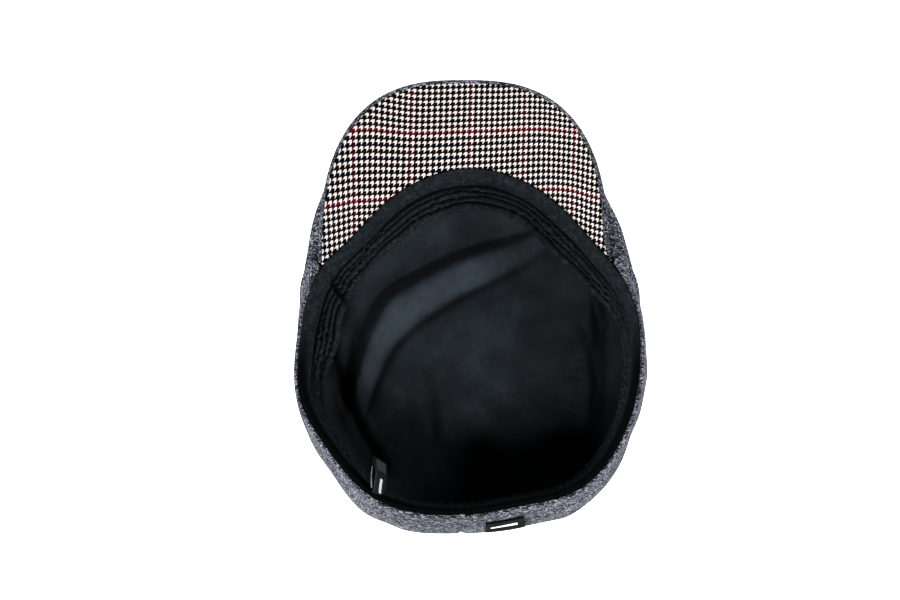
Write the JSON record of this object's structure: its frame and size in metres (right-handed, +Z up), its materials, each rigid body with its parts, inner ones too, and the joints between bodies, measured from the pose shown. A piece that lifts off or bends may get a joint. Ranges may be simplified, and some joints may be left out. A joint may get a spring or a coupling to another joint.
{
  "type": "flat cap",
  "caption": "Soft flat cap lying on its crown: three wool panels, a stiff rounded peak with a houndstooth under side, a stitched sweatband and a folded lining round an open head hollow.",
  "frame": {"origin": "on the floor, under the middle of the cap's box", "axes": "+Z up out of the opening, +Y toward the peak, +X toward the wearer's left"},
  "size_m": [0.1941, 0.2549, 0.0849],
  "materials": {
    "wool": "grey melange wool cloth",
    "houndstooth": "houndstooth wool cloth with a red overcheck",
    "band_cloth": "black cotton twill, matte",
    "lining_cloth": "black lining cloth, soft sheen",
    "label_cloth": "black woven satin tape",
    "care_cloth": "thin pale tape",
    "patch_cloth": "black woven patch"
  },
  "bodies": {
    "root": {"crown_top": "wool", "crown_side_left": "wool", "crown_side_right": "wool", "peak": "wool", "peak_under": "houndstooth", "sweatband": "band_cloth", "lining_top": "lining_cloth", "lining_side_left": "lining_cloth", "lining_side_right": "lining_cloth", "size_label": "label_cloth", "care_label": "care_cloth", "back_patch": "patch_cloth"}
  },
  "joints": []
}
